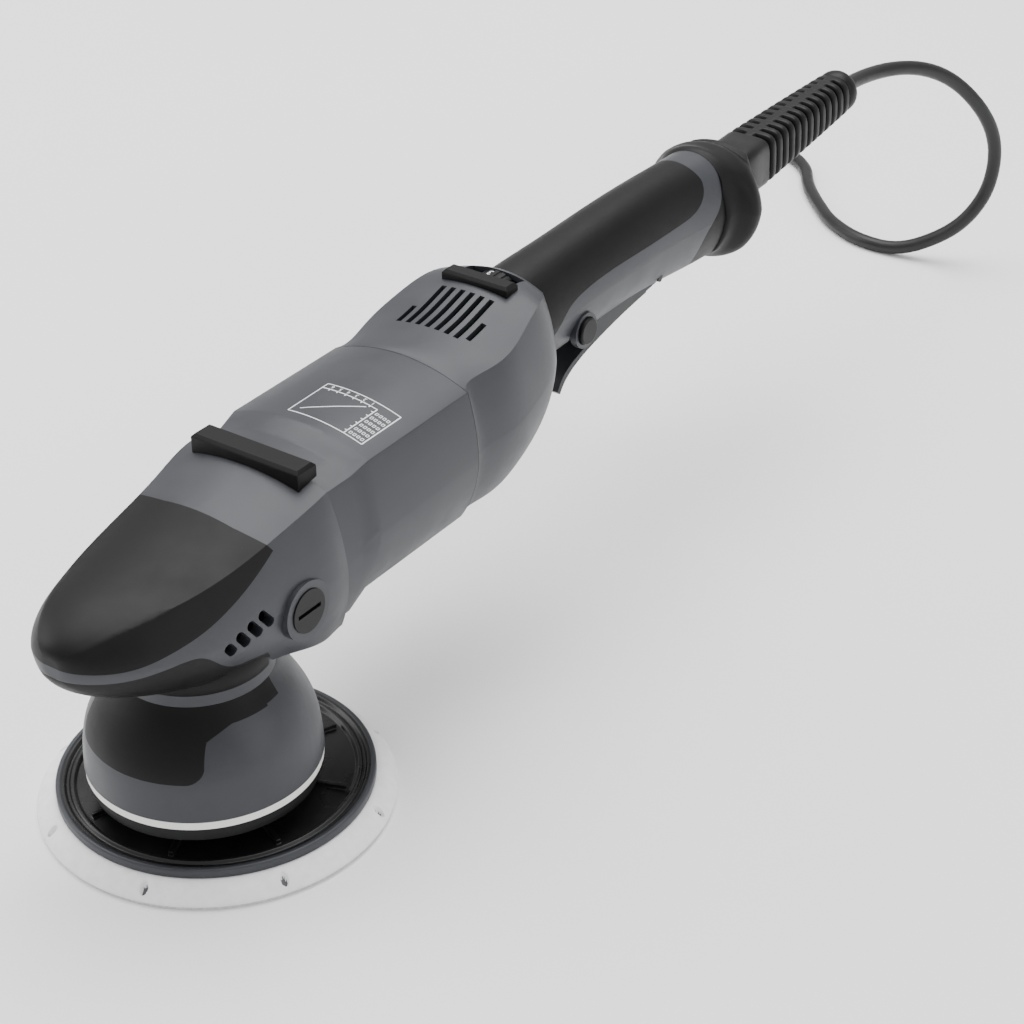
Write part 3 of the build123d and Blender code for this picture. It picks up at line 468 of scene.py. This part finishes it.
RELIEF_RISE = 3.2
RELIEF_LENGTH = 0.132
RELIEF_BLOCK = 0.036
RELIEF_HALF = 0.013
RELIEF_RIBS = 13
RELIEF_PITCH = 0.0066
RELIEF_COLLAR = 0.0095
RELIEF_COLLAR_RADIUS = 0.0115
RELIEF_CORE = 0.0074
RELIEF_SPINE = 0.0022
RELIEF_AROUND = 96
RELIEF_SPINE_EDGE = 0.0016
RELIEF_CHAMFER = 0.0008
RELIEF_STEP = 0.0004
RELIEF_TAPER = 0.00016
RELIEF_SQUARE = 5
RELIEF_ROUNDING = 2.4
RELIEF_COLLAR_ROUND = 0.0026
RELIEF_COLLAR_STEPS = 12
RELIEF_MOUTH = 0.0048
RELIEF_MOUTH_INSIDE = 0.0042
RELIEF_MOUTH_DEPTH = 0.003
# Distance along one rib, and how far the groove is cut there.
RIB_PROFILE = ((0.0, 0.55), (0.0004, 1.0), (0.0024, 1.0), (0.0028, 0.5), (0.0029, 0.04),
               (0.0034, 0.0), (0.0058, 0.0), (0.0063, 0.04))


def relief_ring(along, half, power, groove):
    """Ring of a rounded square at a distance along the relief; a groove cuts it except over its spines."""
    ring = []
    for i in range(RELIEF_AROUND):
        angle = 2 * pi * i / RELIEF_AROUND
        reach = half / (abs(cos(angle)) ** power + abs(sin(angle)) ** power) ** (1 / power)
        aside = abs(reach * cos(angle))
        depth = groove * eased(aside, RELIEF_SPINE, RELIEF_SPINE + RELIEF_SPINE_EDGE)
        reach = reach + depth * (RELIEF_CORE - reach)
        ring.append((reach * cos(angle), along, reach * sin(angle)))
    return ring


def relief_rings():
    """Square block, ribs that turn round towards the cord, collar and mouth."""
    half = RELIEF_HALF
    square = RELIEF_SQUARE
    rings = [
        relief_ring(0.0, half - RELIEF_CHAMFER, square, 0),
        relief_ring(RELIEF_CHAMFER, half, square, 0),
        relief_ring(RELIEF_BLOCK - RELIEF_CHAMFER, half, square, 0),
        relief_ring(RELIEF_BLOCK, half - 0.75 * RELIEF_CHAMFER, square, 0),
    ]
    for rib in range(RELIEF_RIBS):
        start = RELIEF_BLOCK + RELIEF_STEP + rib * RELIEF_PITCH
        half = RELIEF_HALF - RELIEF_STEP / 2 - RELIEF_TAPER * rib
        power = square - RELIEF_ROUNDING * rib / RELIEF_RIBS
        for along, groove in RIB_PROFILE:
            rings.append(relief_ring(start + along, half, power, groove))
    collar = RELIEF_LENGTH - RELIEF_COLLAR
    for step in range(RELIEF_COLLAR_STEPS + 1):
        angle = pi * step / RELIEF_COLLAR_STEPS
        bulge = RELIEF_COLLAR_RADIUS - RELIEF_COLLAR_ROUND + RELIEF_COLLAR_ROUND * sin(angle)
        rings.append(relief_ring(collar + RELIEF_COLLAR * (1 - cos(angle)) / 2, bulge, 2, 0))
    rings.append(relief_ring(RELIEF_LENGTH, RELIEF_MOUTH, 2, 0))
    rings.append(relief_ring(RELIEF_LENGTH - RELIEF_MOUTH_DEPTH, RELIEF_MOUTH_INSIDE, 2, 0))
    return rings


def make_relief():
    rings = relief_rings()
    start = Vector(CORD_EXIT) - Matrix.Rotation(radians(RELIEF_RISE), 3, "X") @ Vector((0, RELIEF_LENGTH, 0))
    turn = Matrix.Translation(start) @ Matrix.Rotation(radians(RELIEF_RISE), 4, "X")
    points = [turn @ Vector(point) for ring in rings for point in ring]
    faces = [tuple(reversed(face)) for face in tube_faces(len(rings), RELIEF_AROUND)]
    last = (len(rings) - 1) * RELIEF_AROUND
    faces.append(tuple(range(RELIEF_AROUND)))
    faces.append(tuple(reversed(range(last, last + RELIEF_AROUND))))
    relief = put("relief_boot", mesh_of("relief_boot", points, faces), FINISHES["black_plastic"], "tool")
    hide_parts("strain_relief")


make_relief()


# ---------------------------------------------------------------- pad

FOAM_AROUND = 960
FOAM_HOLES = 8
FOAM_HOLE_TURN = 17.7
FOAM_HOLE_DEPTH = 0.0034
FOAM_HOLE_HALF_WIDTH = 0.0016
FOAM_HOLE_HALF_LENGTH = 0.0024
FOAM_HOLE_IN = 0.0036
FOAM_HOLE_FLOOR = 0.55
# Share of a pocket's depth past which its faces take the painted shade.
FOAM_HOLE_PAINTED_SHADE_SHARE = 0.5
FOAM_HOLES_ABOVE = 0.001
FOAM_INNER = 0.02
FOAM_UNDERSIDE = (0.0, 0.4, 0.8)
FOAM_CORNER = 0.0006
FOAM_SIDE_LOW = 0.0005
FOAM_SIDE_HIGH = 0.0012
FOAM_STEPS = 26
FOAM_BULGE = 0.85
FOAM_PAST_PLATE = 0.0002
FOAM_UNDER_PLATE = 0.002
FOAM_WELD = 0.005 * MM


def foam_profile(outer, low, high, shoulder):
    """From the middle of the underside out to the rim, up the sloping edge and in under the plate."""
    rows = [(share * outer, low) for share in FOAM_UNDERSIDE]
    rows += [(outer - FOAM_CORNER, low), (outer, low + FOAM_SIDE_LOW), (outer, low + FOAM_SIDE_HIGH)]
    for step in range(FOAM_STEPS + 1):
        share = step / FOAM_STEPS
        radius = outer + share * (shoulder - outer)
        rise = (high - low - FOAM_SIDE_HIGH) * sin(share * pi / 2) ** FOAM_BULGE
        rows.append((radius, low + FOAM_SIDE_HIGH + rise))
    rows += [(shoulder - FOAM_UNDER_PLATE, high), (FOAM_INNER, high), (0.0, high)]
    return rows


def foam_sink(angle, radius, outer):
    """Depth of the nearest pocket at a place on the sloping edge."""
    turns = [angle - radians(FOAM_HOLE_TURN + 360 / FOAM_HOLES * k) for k in range(FOAM_HOLES)]
    nearest = min(abs((turn + pi) % (2 * pi) - pi) for turn in turns)
    aside = nearest * radius / FOAM_HOLE_HALF_WIDTH
    along = (radius - (outer - FOAM_HOLE_IN)) / FOAM_HOLE_HALF_LENGTH
    return FOAM_HOLE_DEPTH * (1 - eased(aside * aside + along * along, FOAM_HOLE_FLOOR, 1.0))


def make_foam():
    """White foam of the plate: a sloping edge with small moulded pockets, whose deeper faces take a darker
    material as painted shade.
    """
    low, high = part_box("pad_foam")
    axis = (low + high) / 2
    outer = (high.x - low.x) / 2
    plate_low, plate_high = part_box("backing_plate")
    shoulder = (plate_high.x - plate_low.x) / 2 + FOAM_PAST_PLATE
    rows = foam_profile(outer, low.z, high.z, shoulder)
    points = []
    painted_shade_mask = []
    for radius, height in rows:
        for i in range(FOAM_AROUND):
            angle = 2 * pi * i / FOAM_AROUND
            sink = foam_sink(angle, radius, outer) if height > low.z + FOAM_HOLES_ABOVE else 0.0
            points.append((axis.x + radius * cos(angle), axis.y + radius * sin(angle), height - sink))
            # Vertices deep in a pocket are marked for the painted shade.
            painted_shade_mask.append(sink > FOAM_HOLE_PAINTED_SHADE_SHARE * FOAM_HOLE_DEPTH)
    faces = tube_faces(len(rows), FOAM_AROUND)
    foam = put("foam_ring", mesh_of("foam_ring", points, faces), FINISHES["pad_foam"], "pad")
    # Second material: a darker grey painted on the pockets' deep faces as painted shade.
    foam.data.materials.append(FINISHES["foam_pocket_painted_shade"])
    for polygon in foam.data.polygons:
        if all(painted_shade_mask[corner] for corner in polygon.vertices):
            polygon.material_index = 1
    weld = foam.modifiers.new("weld", "WELD")
    weld.merge_threshold = FOAM_WELD
    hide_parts("pad_foam")


PLATE_EDGE = 0.0040
RIM_AROUND = 240
# Distance out from the plate's edge, and height from its top.
RIM_PROFILE = [(-0.0022, 0.00015), (-0.0006, 0.00018), (0.0, -0.0001), (0.00018, -0.0008),
               (0.00018, -0.0034), (0.0, -0.0038), (-0.0006, -0.0038), (-0.0022, -0.0036)]


def make_rim():
    """Grey band round the plate's outer edge."""
    low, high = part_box("backing_plate")
    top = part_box("pad_foam")[1].z + PLATE_EDGE
    axis = (low + high) / 2
    outer = (high.x - low.x) / 2
    points = []
    for out, up in RIM_PROFILE:
        for i in range(RIM_AROUND):
            angle = 2 * pi * i / RIM_AROUND
            radius = outer + out
            points.append((axis.x + radius * cos(angle), axis.y + radius * sin(angle), top + up))
    rows = len(RIM_PROFILE)
    last = (rows - 1) * RIM_AROUND
    faces = [tuple(reversed(face)) for face in tube_faces(rows, RIM_AROUND)]
    for i in range(RIM_AROUND):
        after = (i + 1) % RIM_AROUND
        faces.append((i, after, last + after, last + i))
    put("plate_rim", mesh_of("plate_rim", points, faces), FINISHES["grey_plastic"], "pad")


make_foam()
make_rim()


# ---------------------------------------------------------------- neck cover

NECK_RADIUS = 0.0320
NECK_COVER_LOW = 0.0803
NECK_COVER_HIGH = 0.0925
NECK_COVER_BACK = 0.0085
NECK_COVER_THICK = 0.0006
NECK_COVER_IN = 0.0010
NECK_COVER_LIP = 0.0003
NECK_COVER_LIP_HIGH = 0.0004
NECK_COVER_STEPS = 120


def make_neck_cover():
    """Soft cover round the front of the neck, between the nose and the grey neck band."""
    thick = NECK_COVER_THICK
    profile = [(-NECK_COVER_IN, NECK_COVER_LOW), (thick - NECK_COVER_LIP, NECK_COVER_LOW),
               (thick, NECK_COVER_LOW + NECK_COVER_LIP_HIGH), (thick, NECK_COVER_HIGH),
               (-NECK_COVER_IN, NECK_COVER_HIGH)]
    reach = 90 + degrees(NECK_COVER_BACK / NECK_RADIUS)
    steps = NECK_COVER_STEPS
    points = []
    for step in range(steps + 1):
        angle = radians(-90 - reach + 2 * reach * step / steps)
        for out, height in profile:
            radius = NECK_RADIUS + out
            points.append((radius * cos(angle), radius * sin(angle), height))
    rows = len(profile)
    faces = []
    for step in range(steps):
        for i in range(rows):
            after = (i + 1) % rows
            low = step * rows
            faces.append((low + i, low + rows + i, low + rows + after, low + after))
    faces.append(tuple(range(rows)))
    faces.append(tuple(reversed(range(steps * rows, (steps + 1) * rows))))
    put("neck_cover", mesh_of("neck_cover", points, faces), FINISHES["soft_rubber"], "tool")


make_neck_cover()


# ---------------------------------------------------------------- printed marks

ABOVE_ALL = 0.4
DOWN = Vector((0, 0, -1))
PRINT_LIFT = 0.00006
PRINT_THICK = 0.00012
DIGIT_LIFT = 0.00008


def surface_over(node):
    """A solid's own surface, to find heights on."""
    mesh = nodes[node].data
    return BVHTree.FromPolygons([v.co for v in mesh.vertices], [p.vertices for p in mesh.polygons])


def strip(start, end, width, steps=16):
    """Flat strip in the plane, as rows of two points."""
    along = Vector(end) - Vector(start)
    side = Vector((-along.y, along.x)).normalized() * (width / 2)
    rows = []
    for step in range(steps + 1):
        middle = Vector(start) + along * (step / steps)
        rows.append((middle - side, middle + side))
    return rows


def draped_strips(name, strips, node, body):
    """Strips laid on a solid's upper surface, a little proud of it."""
    tree = surface_over(node)
    points = []
    faces = []
    for rows in strips:
        first = len(points)
        for pair in rows:
            for flat in pair:
                hit = tree.ray_cast(Vector((flat.x, flat.y, ABOVE_ALL)), DOWN)[0]
                points.append((flat.x, flat.y, hit.z + PRINT_LIFT))
                points.append((flat.x, flat.y, hit.z + PRINT_LIFT - PRINT_THICK))
        for row in range(len(rows) - 1):
            a = first + 4 * row
            b = a + 4
            faces.append((a, b, b + 2, a + 2))
            faces.append((a + 1, a + 3, b + 3, b + 1))
            faces.append((a, a + 1, b + 1, b))
            faces.append((a + 2, b + 2, b + 3, a + 3))
        end = first + 4 * (len(rows) - 1)
        faces.append((first, first + 2, first + 3, first + 1))
        faces.append((end, end + 1, end + 3, end + 2))
    mesh = mesh_of(name, points, faces)
    for polygon in mesh.polygons:
        polygon.use_smooth = False
    put(name, mesh, WHITE_PRINT, body)


GRAPH_LEFT, GRAPH_RIGHT = -0.0097, 0.0281
GRAPH_NEAR, GRAPH_FAR = 0.0755, 0.1012
GRAPH_AXIS_X, GRAPH_AXIS_Y = 0.0190, 0.0975
GRAPH_LINE = 0.00052
GRAPH_MARKS = 6
GRAPH_TICK = 0.0011
MARK_LINE = 0.00032
MARK_DIGITS = 4
MARK_PITCH = 0.0019
MARK_WIDTH = 0.0012
MARK_INSET = 0.0001
MARK_HALF = 0.0007
ACROSS_FIRST = 0.0036
ACROSS_STEP = 0.0042
ALONG_FIRST = 0.0026
ALONG_STEP = 0.0034
GRAPH_BOW = [(0.0146, 0.0958), (0.0085, 0.0905), (0.0022, 0.0853), (-0.0063, 0.0789)]


def mark_across(mark):
    """Place of a mark along the scale that runs across the tool."""
    return GRAPH_AXIS_X - ACROSS_FIRST - ACROSS_STEP * mark


def mark_along(mark):
    """Place of a mark along the scale that runs along the tool."""
    return GRAPH_AXIS_Y - ALONG_FIRST - ALONG_STEP * mark


def box_mark(left, up):
    """A small upright box, which stands for a printed numeral."""
    right = left + MARK_WIDTH
    inner_left = left + MARK_INSET
    inner_right = right - MARK_INSET
    low = up - MARK_HALF
    high = up + MARK_HALF
    lines = [((left, high), (right, high)), ((left, low), (right, low))]
    lines += [((inner_left, low), (inner_left, high)), ((inner_right, low), (inner_right, high))]
    return [strip(start, end, MARK_LINE, 2) for start, end in lines]


def graph_strips():
    """Frame, two scales with ticks and a slightly bowed line."""
    line = GRAPH_LINE
    corners = [(GRAPH_LEFT, GRAPH_NEAR), (GRAPH_RIGHT, GRAPH_NEAR)]
    corners += [(GRAPH_RIGHT, GRAPH_FAR), (GRAPH_LEFT, GRAPH_FAR)]
    strips = []
    for i, corner in enumerate(corners):
        strips.append(strip(corner, corners[(i + 1) % 4], line))
    strips.append(strip((GRAPH_LEFT, GRAPH_AXIS_Y), (GRAPH_AXIS_X, GRAPH_AXIS_Y), line))
    strips.append(strip((GRAPH_AXIS_X, GRAPH_NEAR), (GRAPH_AXIS_X, GRAPH_AXIS_Y), line))
    for mark in range(GRAPH_MARKS):
        across = mark_across(mark)
        up = mark_along(mark)
        strips.append(strip((across, GRAPH_AXIS_Y), (across, GRAPH_AXIS_Y - GRAPH_TICK), line, 2))
        strips.append(strip((GRAPH_AXIS_X, up), (GRAPH_AXIS_X - GRAPH_TICK, up), line, 2))
        for digit in range(MARK_DIGITS):
            strips += box_mark(GRAPH_AXIS_X + MARK_WIDTH + MARK_PITCH * digit, up)
    for start, end in zip(GRAPH_BOW, GRAPH_BOW[1:]):
        strips.append(strip(start, end, line, 6))
    return strips


FONT_SIZE = 1.35
DIGIT_DEPTH = 0.00006


def digit_mesh(text, height):
    """One numeral as a thin solid, centred on its own origin."""
    curve = bpy.data.curves.new("numeral", "FONT")
    curve.body = text
    curve.size = height * FONT_SIZE
    curve.align_x = "CENTER"
    curve.align_y = "CENTER"
    curve.extrude = DIGIT_DEPTH
    holder = bpy.data.objects.new("numeral", curve)
    scene.collection.objects.link(holder)
    bpy.context.view_layer.update()
    solved = holder.evaluated_get(bpy.context.evaluated_depsgraph_get())
    mesh = bpy.data.meshes.new_from_object(solved)
    bpy.data.objects.remove(holder)
    return mesh


def place_digits(name, places, height, body):
    """One piece with a numeral at each place; up is towards the nose, as the user reads it."""
    whole = bmesh.new()
    for text, matrix in places:
        mesh = digit_mesh(text, height)
        mesh.transform(matrix @ Matrix.Rotation(pi, 4, "Z"))
        whole.from_mesh(mesh)
    joined = bpy.data.meshes.new(name)
    whole.to_mesh(joined)
    whole.free()
    put(name, joined, WHITE_PRINT, body)


DIAL_FIRST = 97.0
DIAL_STEP = 51.4
DIAL_DIGITS = {"1": -2, "2": -1, "3": 0, "4": 1, "5": 2, "6": 3}
DIAL_DIGIT_HEIGHT = 0.0040
SCALE_DIGIT_HEIGHT = 0.0021


def make_graph():
    draped_strips("printed_graph", graph_strips(), "motor_housing", "tool")
    tree = surface_over("motor_housing")
    places = []
    up = (GRAPH_AXIS_Y + GRAPH_FAR) / 2
    for mark in range(GRAPH_MARKS):
        across = mark_across(mark)
        hit = tree.ray_cast(Vector((across, up, ABOVE_ALL)), DOWN)
        lean = Vector((0, 0, 1)).rotation_difference(hit[1]).to_matrix().to_4x4()
        places.append((str(mark + 1), Matrix.Translation(hit[0] + hit[1] * DIGIT_LIFT) @ lean))
    place_digits("printed_digits", places, SCALE_DIGIT_HEIGHT, "tool")


def make_dial_digits():
    low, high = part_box("speed_dial")
    axis = (low + high) / 2
    radius = (high.x - low.x) / 2
    places = []
    for text, step in DIAL_DIGITS.items():
        angle = DIAL_FIRST - 90 + DIAL_STEP * step
        turn = Matrix.Rotation(radians(-angle), 4, "Y")
        out = Matrix.Translation((0, 0, radius + DIGIT_LIFT))
        places.append((text, Matrix.Translation(axis) @ turn @ out))
    place_digits("dial_digits", places, DIAL_DIGIT_HEIGHT, "speed_dial")


make_graph()
make_dial_digits()
